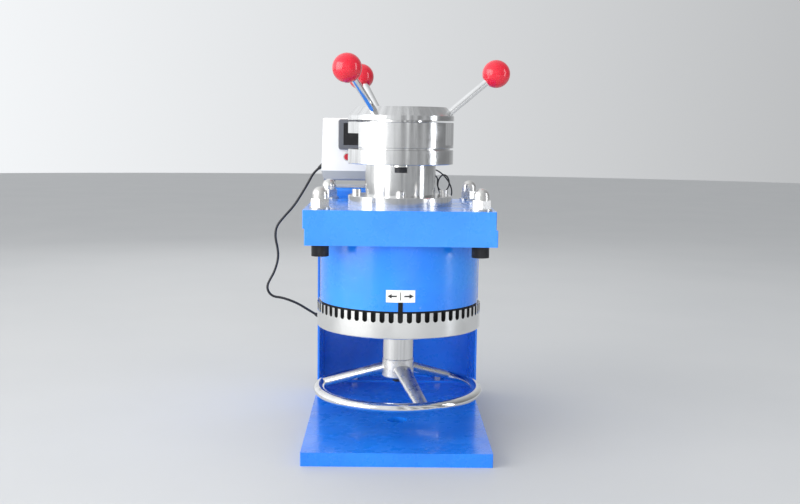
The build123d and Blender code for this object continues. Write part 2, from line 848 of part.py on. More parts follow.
def make_guide_pin():
    length = neck_radius - plunger_radius + guide_slot_depth - guide_pin_end_gap
    with BuildPart() as pin:
        with BuildSketch(Plane.XZ.offset(-neck_radius)):
            with Locations((0, guide_z)):
                Circle(guide_pin_radius)
        extrude(amount=length)
        with BuildSketch(Plane.XZ.offset(-neck_radius)):
            with Locations((0, guide_z)):
                RegularPolygon(guide_pin_radius * socket_share, 6)
        extrude(amount=guide_pin_socket_depth, mode=Mode.SUBTRACT)
    save(pin.part, "guide_pin")


# ---- Neck and chuck -----------------------------------------------------------------------


def make_neck():
    with BuildPart() as neck:
        with BuildSketch(Plane.XY.offset(upper_plate_top)):
            Circle(flange_radius)
        extrude(amount=flange_thickness)
        chamfer(neck.edges().group_by(Axis.Z)[-1], length=edge_break)
        with BuildSketch(Plane.XY.offset(flange_top)):
            Circle(neck_radius)
        extrude(amount=neck_height)
        with BuildSketch(Plane.XY.offset(upper_plate_top)):
            Circle(head_bore_radius - running_clearance)
        extrude(amount=-neck_spigot_length)
        with BuildSketch(Plane.XY.offset(upper_plate_top - neck_spigot_length)):
            Circle(neck_bore_radius)
        extrude(amount=neck_top - upper_plate_top + neck_spigot_length, mode=Mode.SUBTRACT)
        with BuildSketch(Plane.XY.offset(flange_top)):
            with Locations(*flange_screw_spots()):
                Circle(flange_screw_radius + hole_clearance / 2)
        extrude(amount=-flange_thickness, mode=Mode.SUBTRACT)
        with BuildSketch(Plane.XZ.offset(-neck_radius - 1.0)):
            with Locations((0, guide_z)):
                Circle(guide_pin_radius + thread_clearance)
        extrude(amount=neck_radius - neck_bore_radius + 3.0, mode=Mode.SUBTRACT)
    save(neck.part, "neck")


def make_flange_screws():
    head = (flange_screw_head_radius, flange_screw_head_height)
    tip = upper_plate_top - flange_screw_grip
    screws = cap_screws(flange_screw_spots(), flange_screw_radius, *head, flange_top, tip)
    save(screws, "flange_screws")


def clamp_bolt_spots():
    return circle_spots(clamp_bolt_circle, clamp_bolt_count)


def make_seat_disc():
    with BuildPart() as disc:
        with BuildSketch(Plane.XY.offset(neck_top)):
            Circle(seat_radius)
        extrude(amount=seat_thickness)
        chamfer(disc.edges(), length=edge_break)
        with BuildSketch(Plane.XY.offset(neck_top)):
            Circle(neck_bore_radius)
            with Locations(*clamp_bolt_spots()):
                Circle(clamp_bolt_radius + hole_clearance)
        extrude(amount=seat_thickness, mode=Mode.SUBTRACT)
    save(disc.part, "seat_disc")


def make_clamp_washers():
    with BuildPart() as washers:
        with BuildSketch(Plane.XY.offset(neck_top)):
            with Locations(*clamp_bolt_spots()):
                Circle(clamp_washer_radius)
                Circle(clamp_bolt_radius + hole_clearance, mode=Mode.SUBTRACT)
        extrude(amount=-clamp_washer_thickness)
    save(washers.part, "clamp_washers")


def make_clamp_bolts():
    head = (clamp_bolt_head_radius, clamp_bolt_head_height)
    seat = neck_top - clamp_washer_thickness
    bolts = cap_screws(clamp_bolt_spots(), clamp_bolt_radius, *head, seat, chuck_bottom + clamp_bolt_grip)
    save(bolts, "clamp_bolts")


def chuck_flat(azimuth, offset, bottom, height):
    """Block outside a flat at a distance from the drive axis, to be cut from the chuck body."""
    outward = radial(azimuth)
    middle = outward * (offset + chuck_radius / 2) + Vector(0, 0, bottom + height / 2)
    return Plane(origin=middle, x_dir=outward, z_dir=(0, 0, 1)) * Box(chuck_radius, 2 * chuck_radius, height)


def make_chuck_body():
    flat_bottom = chuck_bottom + chuck_flat_rise
    flats = [
        chuck_flat(side * chuck_flat_azimuth, chuck_flat_offset, flat_bottom, chuck_height)
        for side in (-1, 1)
    ]
    notch = chuck_flat(-90, chuck_notch_offset, chuck_bottom - seat_gap, seat_gap + chuck_notch_height)
    with BuildPart() as body:
        with BuildSketch(Plane.XY.offset(chuck_bottom)):
            Circle(chuck_radius)
        extrude(amount=chuck_height)
        chamfer(body.edges(), length=edge_break)
        with BuildSketch(Plane.XY.offset(seat_top)):
            Circle(register_radius)
        extrude(amount=seat_gap)
        with BuildSketch(Plane.XY.offset(seat_top)):
            Circle(collet_stem_radius + running_clearance)
        extrude(amount=seat_gap + chuck_height, mode=Mode.SUBTRACT)
        with BuildSketch(Plane.XY.offset(chuck_floor)):
            Circle(counterbore_radius)
        extrude(amount=counterbore_depth, mode=Mode.SUBTRACT)
        with BuildSketch(Plane.XY.offset(seat_top)):
            with Locations(*clamp_bolt_spots()):
                Circle(clamp_bolt_radius + thread_clearance)
        extrude(amount=seat_gap + clamp_bolt_grip + clamp_hole_spare, mode=Mode.SUBTRACT)
        add(flats, mode=Mode.SUBTRACT)
        add(notch, mode=Mode.SUBTRACT)
    save(body.part, "chuck_body")


def cone_base_z():
    return chuck_floor + cone_rise


def cone_top_z():
    return cone_base_z() + cone_height


def make_collet():
    nose_top = chuck_top - collet_drop
    with BuildPart() as collet:
        with BuildSketch(Plane.XZ):
            with BuildLine():
                Polyline(
                    (collet_bore_radius, collet_bottom),
                    (collet_stem_radius, collet_bottom),
                    (collet_stem_radius, chuck_floor),
                    (collet_cone_base_radius, chuck_floor),
                    (collet_cone_base_radius, cone_base_z()),
                    (collet_cone_top_radius, cone_top_z()),
                    (collet_nose_radius, cone_top_z()),
                    (collet_nose_radius, nose_top),
                    (collet_bore_radius, nose_top),
                    close=True,
                )
            make_face()
        revolve(axis=Axis.Z)
        with BuildSketch(Plane.XY.offset(nose_top)):
            Rectangle(collet_saw_cut, 3 * collet_nose_radius)
            Rectangle(3 * collet_nose_radius, collet_saw_cut)
        extrude(amount=collet_bottom + collet_uncut - nose_top, mode=Mode.SUBTRACT)
    save(collet.part, "collet")


def make_pressure_ring():
    bottom = cone_base_z()
    top = cone_top_z()
    with BuildPart() as ring:
        with BuildSketch(Plane.XZ):
            with BuildLine():
                Polyline(
                    (collet_cone_base_radius + cone_gap, bottom),
                    (counterbore_radius - running_clearance, bottom),
                    (counterbore_radius - running_clearance, top),
                    (collet_cone_top_radius + cone_gap, top),
                    close=True,
                )
            make_face()
        revolve(axis=Axis.Z)
    save(ring.part, "pressure_ring")


def lever_plane(azimuth):
    """Plane on the clamp nut's chamfer, its normal along the lever."""
    outward = radial(azimuth)
    slope = math.radians(lever_slope)
    along = outward * math.cos(slope) + Vector(0, 0, math.sin(slope))
    return Plane(origin=outward * chamfer_radius + Vector(0, 0, chamfer_z), z_dir=along)


def make_clamp_nut():
    stem_bottom = cone_top_z() + ring_gap
    with BuildPart() as nut:
        with BuildSketch(Plane.XZ):
            with BuildLine():
                Polyline(
                    (nut_stem_bore_radius, stem_bottom),
                    (counterbore_radius - running_clearance, stem_bottom),
                    (counterbore_radius - running_clearance, nut_bottom),
                    (nut_radius, nut_bottom),
                    (nut_radius, nut_bottom + nut_rim_height),
                    (nut_top_radius, nut_top),
                    (nut_opening_radius, nut_top),
                    (nut_opening_radius, nut_bottom),
                    (nut_stem_bore_radius, nut_bottom),
                    close=True,
                )
            make_face()
        revolve(axis=Axis.Z)
        for azimuth in lever_azimuths:
            with BuildSketch(lever_plane(azimuth).offset(-lever_depth - lever_hole_spare)):
                Circle(lever_radius + thread_clearance)
            extrude(amount=lever_depth + lever_radius, mode=Mode.SUBTRACT)
    save(nut.part, "clamp_nut")


def make_lever_rods():
    with BuildPart() as rods:
        for azimuth in lever_azimuths:
            with BuildSketch(lever_plane(azimuth).offset(-lever_depth)):
                Circle(lever_radius)
            extrude(amount=lever_depth + lever_reach)
    save(rods.part, "lever_rods")


def make_lever_knobs():
    with BuildPart() as knobs:
        for azimuth in lever_azimuths:
            with Locations(lever_plane(azimuth).offset(lever_reach)):
                Sphere(ball_radius)
            with BuildSketch(lever_plane(azimuth).offset(lever_reach - 2 * ball_radius)):
                Circle(ball_radius)
            extrude(amount=(2 - ball_flat_share) * ball_radius, mode=Mode.SUBTRACT)
            with BuildSketch(lever_plane(azimuth).offset(lever_reach - ball_radius)):
                Circle(lever_radius + thread_clearance)
            extrude(amount=ball_radius + lever_hole_spare, mode=Mode.SUBTRACT)
    save(knobs.part, "lever_knobs")


# ---- Read-out box ----------------------------------------------------------------------


def make_box_support():
    depth = box_front + box_depth - support_front
    inside = (depth - 2 * support_sheet, support_height - 2 * support_sheet)
    with BuildPart() as support:
        with BuildSketch(Plane.YZ.offset(box_centre_x - support_width / 2)):
            with Locations((support_front + depth / 2, upper_plate_bottom + support_height / 2)):
                RectangleRounded(depth, support_height, 2 * support_sheet)
                RectangleRounded(*inside, support_sheet, mode=Mode.SUBTRACT)
        extrude(amount=support_width)
    save(support.part, "box_support")


def make_box_feet():
    half_x = support_width / 2 - box_foot_side
    front = box_front + box_foot_inset
    rear = box_front + box_depth - box_foot_inset
    spots = [(box_centre_x + side * half_x, row) for side in (-1, 1) for row in (front, rear)]
    with BuildPart() as feet:
        with BuildSketch(Plane.XY.offset(support_top)):
            with Locations(*spots):
                Circle(box_foot_radius)
        extrude(amount=box_foot_height, taper=box_foot_taper)
    save(feet.part, "box_feet")


def box_section(low_half, high_half, low, high, inset=0.0):
    """Cross-section of the box seen from the front, narrower by inset on each side."""
    with BuildSketch(Plane.XZ.offset(-box_front - inset)) as section:
        with BuildLine():
            Polyline(
                (box_centre_x - low_half + inset, low),
                (box_centre_x + low_half - inset, low),
                (box_centre_x + high_half - inset, high),
                (box_centre_x - high_half + inset, high),
                close=True,
            )
        make_face()
    return section.sketch


def make_box_base():
    low_half = cover_side - box_base_taper
    with BuildPart() as base:
        extrude(box_section(low_half, cover_side, box_bottom, cover_bottom), amount=-box_depth)
        chamfer(base.edges().group_by(Axis.Z)[0].filter_by(Axis.X), length=box_base_chamfer)
        hollow = box_section(low_half, cover_side, box_bottom + box_wall, cover_bottom, box_wall)
        extrude(hollow, amount=2 * box_wall - box_depth, mode=Mode.SUBTRACT)
    save(base.part, "box_base")


def make_box_cover():
    top_half = cover_side - box_flare
    ceiling = cover_top - box_wall
    with BuildPart() as cover:
        extrude(box_section(cover_side, top_half, cover_bottom, cover_top), amount=-box_depth)
        fillet(cover.edges().group_by(Axis.Z)[-1], radius=box_corner)
        hollow = box_section(cover_side, top_half, cover_bottom, ceiling, box_wall)
        extrude(hollow, amount=2 * box_wall - box_depth, mode=Mode.SUBTRACT)
        with BuildSketch(Plane.XZ.offset(-box_front)):
            with Locations(meter_centre()):
                Rectangle(meter_body_width + 2 * meter_cutout_fit, meter_body_height + 2 * meter_cutout_fit)
            with Locations((button_x, cover_bottom + button_rise)):
                Circle(button_hole_radius)
        extrude(amount=-box_wall, mode=Mode.SUBTRACT)
        with BuildSketch(Plane.YZ.offset(box_centre_x - box_width)):
            with Locations((gland_y, cover_bottom + gland_rise)):
                Circle(gland_hole_radius)
        extrude(amount=box_width, mode=Mode.SUBTRACT)
        with BuildSketch(Plane.YZ.offset(box_centre_x)):
            with Locations((wire_gland_y, cover_bottom + gland_rise)):
                Circle(wire_hole_radius)
        extrude(amount=box_width, mode=Mode.SUBTRACT)
    save(cover.part, "box_cover")


def meter_centre():
    return (meter_left + meter_width / 2, cover_bottom + meter_rise + meter_height / 2)


def make_meter():
    window = (meter_centre()[0], meter_centre()[1] + window_rise)
    with BuildPart() as meter:
        with BuildSketch(Plane.XZ.offset(-box_front + meter_bezel_depth)):
            with Locations(meter_centre()):
                RectangleRounded(meter_width, meter_height, meter_corner)
        extrude(amount=-meter_bezel_depth)
        chamfer(meter.faces().sort_by(Axis.Y)[0].edges(), length=meter_chamfer)
        with BuildSketch(Plane.XZ.offset(-box_front)):
            with Locations(meter_centre()):
                Rectangle(meter_body_width, meter_body_height)
        extrude(amount=-meter_body_depth)
        with BuildSketch(Plane.XZ.offset(-box_front + meter_bezel_depth)):
            with Locations(window):
                Rectangle(window_width, window_height)
        extrude(amount=-window_thickness - window_recess, mode=Mode.SUBTRACT)
    save(meter.part, "meter_case")
    with BuildPart() as lens:
        with BuildSketch(Plane.XZ.offset(-box_front + meter_bezel_depth - window_recess)):
            with Locations(window):
                Rectangle(window_width - 2 * window_fit, window_height - 2 * window_fit)
        extrude(amount=-window_thickness)
    save(lens.part, "meter_window")


def make_button():
    spot = (button_x, cover_bottom + button_rise)
    with BuildPart() as guide:
        with BuildSketch(Plane.XZ.offset(-box_front)):
            with Locations(spot):
                Circle(button_collar_radius)
                Circle(button_radius + button_fit, mode=Mode.SUBTRACT)
        extrude(amount=button_collar_thickness)
        with BuildSketch(Plane.XZ.offset(-box_front)):
            with Locations(spot):
                Circle(button_bush_radius)
                Circle(button_radius + button_fit, mode=Mode.SUBTRACT)
        extrude(amount=-box_wall)
        with BuildSketch(Plane.XZ.offset(-box_front - box_wall)):
            with Locations(spot):
                Circle(button_barrel_radius)
                Circle(button_radius + button_fit, mode=Mode.SUBTRACT)
        extrude(amount=-button_barrel_length)
        with BuildSketch(Plane.XZ.offset(-box_front - box_wall - button_barrel_length)):
            with Locations(spot):
                Circle(button_barrel_radius)
        extrude(amount=-button_barrel_end)
    save(guide.part, "button_guide")
    with BuildPart() as button:
        with BuildSketch(Plane.XZ.offset(-box_front + button_stand)):
            with Locations(spot):
                Circle(button_radius)
        extrude(amount=-button_stand - button_inside)
        fillet(button.faces().sort_by(Axis.Y)[0].edges(), radius=button_edge)
    save(button.part, "reset_button")


# ---- Sensor, leads and glands -----------------------------------------------------------


def make_sensor_bracket():
    drop = head_height - sensor_z + bracket_overhang
    with BuildPart() as bracket:
        with BuildSketch(Plane.XZ.offset(-sensor_bracket_y)):
            with Locations((0, head_height - drop / 2)):
                Rectangle(sensor_bracket_width, drop)
            with Locations((0, sensor_z)):
                Circle(sensor_radius + sensor_hole_fit, mode=Mode.SUBTRACT)
        extrude(amount=-column_sheet)
        with BuildSketch(Plane.XY.offset(head_height)):
            with Locations((0, sensor_bracket_y + column_sheet + bracket_flange / 2)):
                Rectangle(sensor_bracket_width, bracket_flange)
        extrude(amount=-column_sheet)
    save(bracket.part, "sensor_bracket")


def sensor_face_y():
    return drum_radius + sensor_gap


def make_slot_sensor():
    with BuildPart() as sensor:
        with BuildSketch(Plane.XZ.offset(-sensor_face_y())):
            with Locations((0, sensor_z)):
                Circle(sensor_radius)
        extrude(amount=-sensor_length)
        chamfer(sensor.edges().group_by(Axis.Y)[-1], length=sensor_chamfer)
    save(sensor.part, "slot_sensor")


def make_sensor_nuts():
    with BuildPart() as nuts:
        for front in (sensor_bracket_y - sensor_nut_height, sensor_bracket_y + column_sheet):
            with BuildSketch(Plane.XZ.offset(-front)):
                with Locations((0, sensor_z)):
                    RegularPolygon(sensor_nut_flats / 2, 6, major_radius=False)
                    Circle(sensor_radius + thread_clearance, mode=Mode.SUBTRACT)
            extrude(amount=-sensor_nut_height)
    save(nuts.part, "sensor_nuts")


def tilted(side, tilt):
    """Direction out of a side wall (side -1 is left), tilted down by an angle."""
    angle = math.radians(tilt)
    return Vector(side * math.cos(angle), 0, -math.sin(angle))


def gland_body(wall_point, tilt, stem):
    """Strain relief on the left wall: flange, tapered tilted sleeve, and a stem through the wall."""
    along = tilted(-1, tilt)
    wall = Plane(origin=wall_point, z_dir=(-1, 0, 0))
    with BuildPart() as gland:
        with BuildSketch(Plane(origin=wall_point, z_dir=along)):
            Circle(gland_root_radius)
        with BuildSketch(Plane(origin=wall_point + along * gland_length, z_dir=along)):
            Circle(gland_end_radius)
        loft()
        split(bisect_by=wall, keep=Keep.TOP)
        with BuildSketch(wall):
            Circle(gland_flange_radius)
        extrude(amount=gland_flange)
        with BuildSketch(wall):
            Circle(gland_stem_radius)
        extrude(amount=-stem)
    return gland.part


def cover_side_at(rise):
    """Half width of the cover at a height above its lower edge."""
    return cover_side - box_flare * rise / box_cover_height


def box_gland_point():
    """Where the lead's gland meets the leaning wall: its flange just touches along its lower edge."""
    side = cover_side_at(gland_rise - gland_flange_radius)
    return Vector(box_centre_x - side, gland_y, cover_bottom + gland_rise)


def column_gland_point():
    return Vector(column_inset - plate_width / 2, column_gland_y, column_gland_z)


def make_glands():
    box_gland = gland_body(box_gland_point(), box_gland_tilt, box_wall + gland_run_in)
    column_gland = gland_body(column_gland_point(), column_gland_tilt, column_sheet + gland_run_in)
    save(Compound([box_gland.solid(), column_gland.solid()]), "lead_glands")


def wire_gland_point():
    side = cover_side_at(gland_rise - wire_gland_radius)
    return Vector(box_centre_x + side, wire_gland_y, cover_bottom + gland_rise)


def neck_gland_point():
    return radial(neck_gland_azimuth) * neck_radius + Vector(0, 0, neck_top - neck_gland_drop)


def make_wire_glands():
    with BuildPart() as box_gland:
        with BuildSketch(Plane(origin=wire_gland_point(), z_dir=(1, 0, 0))):
            Circle(wire_gland_radius)
        extrude(amount=wire_gland_length, taper=wire_gland_taper)
    outward = radial(neck_gland_azimuth)
    with BuildPart() as neck_gland:
        with BuildSketch(Plane(origin=neck_gland_point() - outward * neck_gland_bury, z_dir=outward)):
            Circle(neck_gland_radius)
        extrude(amount=neck_gland_bury + wire_gland_length, taper=wire_gland_taper)
        with Locations((0, 0, neck_top - neck_gland_drop)):
            Cylinder(neck_radius, 4 * neck_gland_radius, mode=Mode.SUBTRACT)
    save(Compound([box_gland.solid(), neck_gland.solid()]), "wire_glands")


def make_wire_clip():
    outward = radial(clip_azimuth)
    foot = outward * clip_circle + Vector(0, 0, neck_top)
    eye = foot - Vector(0, 0, clip_drop)
    along = Vector(0, 0, 1).cross(outward)
    with BuildPart() as clip:
        with Locations(Plane(origin=eye, z_dir=along)):
            Torus(clip_ring_radius, clip_wire_radius)
        with BuildSketch(Plane(origin=foot, x_dir=outward, z_dir=(0, 0, -1))):
            Rectangle(clip_foot, clip_foot)
        extrude(amount=clip_foot_thickness)
        with BuildSketch(Plane(origin=foot, x_dir=outward, z_dir=(0, 0, -1))):
            Rectangle(clip_stem, clip_stem)
        extrude(amount=clip_drop - clip_ring_radius)
    save(clip.part, "wire_clip")


def corner_radii(route):
    """Arc at each inner point of a cord's route, as large as its two runs allow."""
    radii = []
    for before, corner, after in zip(route, route[1:], route[2:]):
        run_in = Vector(*corner) - Vector(*before)
        run_out = Vector(*after) - Vector(*corner)
        turn = math.radians(run_in.get_angle(run_out))
        radii.append(0.45 * min(run_in.length, run_out.length) / math.tan(turn / 2))
    return radii


def cord_tube(route, radius, name):
    radii = corner_radii(route)
    with BuildPart() as tube:
        with BuildLine() as path:
            FilletPolyline(*route, radius=radii)
        spine = path.wire()
        with BuildSketch(Plane(origin=spine @ 0, z_dir=spine % 0)):
            Circle(radius)
        sweep(path=spine)
    length = spine.length
    ratio = tube.part.volume / (math.pi * radius**2 * length)
    print(name, "length", round(length, 1), "volume ratio", round(ratio, 4))
    print("  radii", [round(value, 1) for value in radii])
    save(tube.part, name)


def sensor_lead_route():
    start = box_gland_point() + tilted(-1, box_gland_tilt) * gland_length
    end = column_gland_point() + tilted(-1, column_gland_tilt) * gland_length
    second = start + tilted(-1, box_gland_tilt) * 11.0
    last = end + tilted(-1, column_gland_tilt) * 13.0
    return [
        start,
        second,
        (-149.0, 204.5, 363.5),
        (-160.0, 203.5, 344.5),
        (-173.5, 202.5, 323.0),
        (-190.5, 201.5, 304.5),
        (-202.5, 200.5, 289.0),
        (-204.0, 199.5, 271.0),
        (-199.5, 198.5, 253.0),
        (-198.5, 197.0, 236.0),
        (-204.5, 196.0, 215.0),
        (-212.0, 195.0, 201.5),
        (-217.1, 194.5, 190.6),
        (-214.8, 194.0, 179.9),
        (-206.5, 193.5, 172.7),
        (-193.0, 193.0, 171.5),
        (-178.0, 192.0, 167.0),
        (-163.5, 191.0, 161.0),
        last,
        end,
    ]


def sensor_tail_route():
    """Inner lead, from the sensor's rear to the inside of the column gland."""
    rear = sensor_face_y() + sensor_length
    inside = column_inset - plate_width / 2 + column_sheet + gland_run_in
    return [
        (0.0, rear, sensor_z),
        (0.0, rear + 12.0, sensor_z),
        (-6.0, rear + 23.0, sensor_z - 7.0),
        (-20.0, rear + 29.0, sensor_z - 20.0),
        (-38.0, rear + 29.0, sensor_z - 35.0),
        (-58.0, rear + 26.0, sensor_z - 47.0),
        (-78.0, rear + 21.0, column_gland_z - 3.0),
        (-97.0, column_gland_y + 4.0, column_gland_z - 3.0),
        (inside + 9.0, column_gland_y, column_gland_z),
        (inside, column_gland_y, column_gland_z),
    ]


def probe_wire_route():
    """Thin wire from the box, through the clip under the seat disc, two loops, into the neck."""
    start = wire_gland_point() + Vector(wire_gland_length, 0, 0)
    outward = radial(neck_gland_azimuth)
    end = neck_gland_point() + outward * wire_gland_length
    last = end + outward * 9.0
    eye = radial(clip_azimuth) * clip_circle + Vector(0, 0, neck_top - clip_drop)
    along = Vector(0, 0, 1).cross(radial(clip_azimuth))
    before = eye - along * -8.0
    after = eye + along * -9.0
    return [
        start,
        (start.X + 9.0, wire_gland_y, start.Z),
        (start.X + 15.5, wire_gland_y - 7.0, start.Z - 2.0),
        (54.0, 148.0, 385.0),
        (50.0, 135.0, 378.0),
        (44.0, 121.0, 372.0),
        (37.0, 107.0, 369.0),
        (32.0, 92.0, 372.0),
        (31.0, 77.0, 380.0),
        (33.0, 66.0, 388.0),
        before,
        after,
        (63.0, 38.0, 387.0),
        (72.0, 35.0, 377.0),
        (78.0, 35.0, 364.0),
        (77.5, 38.0, 352.0),
        (69.0, 43.0, 347.0),
        (62.0, 50.0, 354.0),
        (57.0, 55.0, 366.0),
        (59.0, 56.0, 379.0),
        (66.0, 52.0, 386.0),
        (73.0, 47.0, 381.0),
        (75.0, 45.0, 370.0),
        (70.0, 46.0, 360.5),
        (61.0, 49.0, 360.0),
        (56.0, 50.5, 369.0),
        (57.5, 48.5, 379.0),
        last,
        end,
    ]


make_base_plate()
make_column()
make_foot_bolts()
make_lower_plate()
make_upper_plate()
make_tie_screws()
make_tie_washers()
make_dome_nuts()
make_housing()
make_bearing_plate()
make_pointer()
make_pointer_label()
make_index_drum()
make_drive_sleeve()
make_handwheel_hub()
make_hub_key()
make_handwheel_spokes()
make_handwheel_ring()
make_spindle()
make_retaining_screw()
make_radial_bearing()
make_thrust_bearing()
make_shaft_seal()
make_feed_nut()
make_plunger()
make_plunger_tip()
make_neck_bushes()
make_guide_pin()
make_neck()
make_flange_screws()
make_seat_disc()
make_clamp_washers()
make_clamp_bolts()
make_chuck_body()
make_collet()
make_pressure_ring()
make_clamp_nut()
make_lever_rods()
make_lever_knobs()
make_box_support()
make_box_feet()
make_box_base()
make_box_cover()
make_meter()
make_button()
make_sensor_bracket()
make_slot_sensor()
make_sensor_nuts()
make_glands()
make_wire_glands()
make_wire_clip()
cord_tube(sensor_lead_route(), lead_radius, "sensor_lead")
cord_tube(sensor_tail_route(), lead_radius, "sensor_tail")
cord_tube(probe_wire_route(), wire_radius, "probe_wire")
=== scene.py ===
import bpy
import bmesh
import math
from mathutils import Matrix, Vector


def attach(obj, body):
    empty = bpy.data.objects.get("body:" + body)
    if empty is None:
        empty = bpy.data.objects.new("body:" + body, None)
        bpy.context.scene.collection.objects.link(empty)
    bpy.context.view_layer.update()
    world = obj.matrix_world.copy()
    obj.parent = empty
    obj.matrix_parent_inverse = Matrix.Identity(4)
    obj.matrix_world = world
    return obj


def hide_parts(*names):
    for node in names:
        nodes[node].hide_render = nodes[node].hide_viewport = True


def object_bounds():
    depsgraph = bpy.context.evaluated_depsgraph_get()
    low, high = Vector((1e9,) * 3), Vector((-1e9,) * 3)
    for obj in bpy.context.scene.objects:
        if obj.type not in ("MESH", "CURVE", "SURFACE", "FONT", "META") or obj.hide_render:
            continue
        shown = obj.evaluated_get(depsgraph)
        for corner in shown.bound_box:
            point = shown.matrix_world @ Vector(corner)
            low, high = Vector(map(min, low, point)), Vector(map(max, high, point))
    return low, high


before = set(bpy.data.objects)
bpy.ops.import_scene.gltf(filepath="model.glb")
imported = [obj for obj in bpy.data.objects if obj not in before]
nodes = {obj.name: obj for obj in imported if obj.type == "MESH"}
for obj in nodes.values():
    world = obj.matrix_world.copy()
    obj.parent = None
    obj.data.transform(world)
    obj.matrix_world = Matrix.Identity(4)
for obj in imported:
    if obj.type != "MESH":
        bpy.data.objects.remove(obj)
cad_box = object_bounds()

# Lengths are in metres. +Z is up along the drive axis, the operator stands at -Y.

# ---- Camera -----------------------------------------------------------------
CAMERA_PLACE = (-0.01835, -1.5273, 0.4521)  # angles below are in degrees
CAMERA_YAW = -0.7253
CAMERA_PITCH = -6.7055
CAMERA_ROLL = 0.7298
CAMERA_LENS = 47.01

# ---- Cords: their routes, as in the CAD source -----------------------------------
LEAD_DIAMETER = 0.004
WIRE_DIAMETER = 0.002
SENSOR_LEAD = [
    (-0.1326, 0.2050, 0.3861),
    (-0.1410, 0.2050, 0.3790),
    (-0.1490, 0.2045, 0.3635),
    (-0.1600, 0.2035, 0.3445),
    (-0.1735, 0.2025, 0.3230),
    (-0.1905, 0.2015, 0.3045),
    (-0.2025, 0.2005, 0.2890),
    (-0.2040, 0.1995, 0.2710),
    (-0.1995, 0.1985, 0.2530),
    (-0.1985, 0.1970, 0.2360),
    (-0.2045, 0.1960, 0.2150),
    (-0.2120, 0.1950, 0.2015),
    (-0.2171, 0.1945, 0.1906),
    (-0.2148, 0.1940, 0.1799),
    (-0.2065, 0.1935, 0.1727),
    (-0.1930, 0.1930, 0.1715),
    (-0.1780, 0.1920, 0.1670),
    (-0.1635, 0.1910, 0.1610),
    (-0.1479, 0.1900, 0.1515),
    (-0.1367, 0.1900, 0.1450),
]
SENSOR_TAIL = [
    (0.0000, 0.1770, 0.1948),
    (0.0000, 0.1890, 0.1948),
    (-0.0060, 0.2000, 0.1878),
    (-0.0200, 0.2060, 0.1748),
    (-0.0380, 0.2060, 0.1598),
    (-0.0580, 0.2030, 0.1478),
    (-0.0780, 0.1980, 0.1370),
    (-0.0970, 0.1940, 0.1370),
    (-0.1120, 0.1900, 0.1400),
    (-0.1210, 0.1900, 0.1400),
]
PROBE_WIRE = [
    (0.0365, 0.1660, 0.3925),
    (0.0455, 0.1660, 0.3925),
    (0.0520, 0.1590, 0.3905),
    (0.0540, 0.1480, 0.3850),
    (0.0500, 0.1350, 0.3780),
    (0.0440, 0.1210, 0.3720),
    (0.0370, 0.1070, 0.3690),
    (0.0320, 0.0920, 0.3720),
    (0.0310, 0.0770, 0.3800),
    (0.0330, 0.0660, 0.3880),
    (0.0402, 0.0566, 0.3930),
    (0.0529, 0.0453, 0.3930),
    (0.0630, 0.0380, 0.3870),
    (0.0720, 0.0350, 0.3770),
    (0.0780, 0.0350, 0.3640),
    (0.0775, 0.0380, 0.3520),
    (0.0690, 0.0430, 0.3470),
    (0.0620, 0.0500, 0.3540),
    (0.0570, 0.0550, 0.3660),
    (0.0590, 0.0560, 0.3790),
    (0.0660, 0.0520, 0.3860),
    (0.0730, 0.0470, 0.3810),
    (0.0750, 0.0450, 0.3700),
    (0.0700, 0.0460, 0.3605),
    (0.0610, 0.0490, 0.3600),
    (0.0560, 0.0505, 0.3690),
    (0.0575, 0.0485, 0.3790),
    (0.0509, 0.0427, 0.3860),
    (0.0440, 0.0369, 0.3860),
]

# ---- Label marks, edges and floor ---------------------------------------------------
LABEL_RADIUS = 0.11632  # just outside the label's face
LABEL_CENTRE = 0.0011  # along the label, to the right of the middle
LABEL_HEIGHT = 0.225
MARK_THICKNESS = 0.00006
ARROW_OFFSET = 0.0115  # label's centre to an arrow's
ARROW_REACH = 0.0065  # half its length
ARROW_NECK = 0.1  # where its head starts, as a share of its reach
ARROW_SHAFT = 0.0011  # half height
ARROW_HEAD = 0.0032
ARROW_TIP = 0.0001
TICK_HALF_WIDTH = 0.0006
TICK_HALF_HEIGHT = 0.0055
SOFT_EDGES = {
    "upper_head_plate": 0.0013,
    "lower_head_plate": 0.0013,
    "base_plate": 0.001,
    "column": 0.0004,
    "box_cover": 0.0006,
    "box_base": 0.0006,
    "bearing_plate": 0.0006,
    "cylinder_housing": 0.0006,
    "handwheel_hub": 0.0008,
}
FLOOR_RADIUS = 9.0
FLOOR_SIDES = 96

# ---- Lights ---------------------------------------------------------------------
MIDDLE = (0.0, 0.0, 0.28)
WHITE = (1.0, 1.0, 1.0)
WARM_WHITE = (1.0, 0.99, 0.97)
COOL_WHITE = (0.92, 0.95, 1.0)
# name, place, target, size, power in watts, colour, seen in reflections
LIGHTS = [
    ("window_left", (-1.9, -1.0, 0.9), MIDDLE, (2.2, 1.8), 44.0, WARM_WHITE, True),
    ("front_soft", (0.2, -2.6, 1.2), MIDDLE, (1.6, 0.9), 16.0, WHITE, False),
    ("front_low", (0.3, -1.9, 0.25), (0.0, 0.1, 0.15), (1.2, 0.5), 7.0, WHITE, False),
    ("right_fill", (2.0, -0.6, 0.8), MIDDLE, (0.3, 1.6), 9.0, COOL_WHITE, True),
    ("top_soft", (0.0, 0.3, 2.2), MIDDLE, (1.8, 1.8), 10.0, WHITE, False),
    ("rear_soft", (-0.5, 2.2, 1.3), MIDDLE, (1.6, 0.8), 8.0, WHITE, False),
]
SKY_COLOUR = (0.96, 0.98, 1.0, 1)
SKY_LEFT, SKY_RIGHT = 1.25, 0.24  # brightness of the two sides of the studio
BAND_DARK, BAND_BRIGHT = 0.12, 1.9  # upright bands to the front right, times the sky's brightness
BAND_SCALE = 3.6


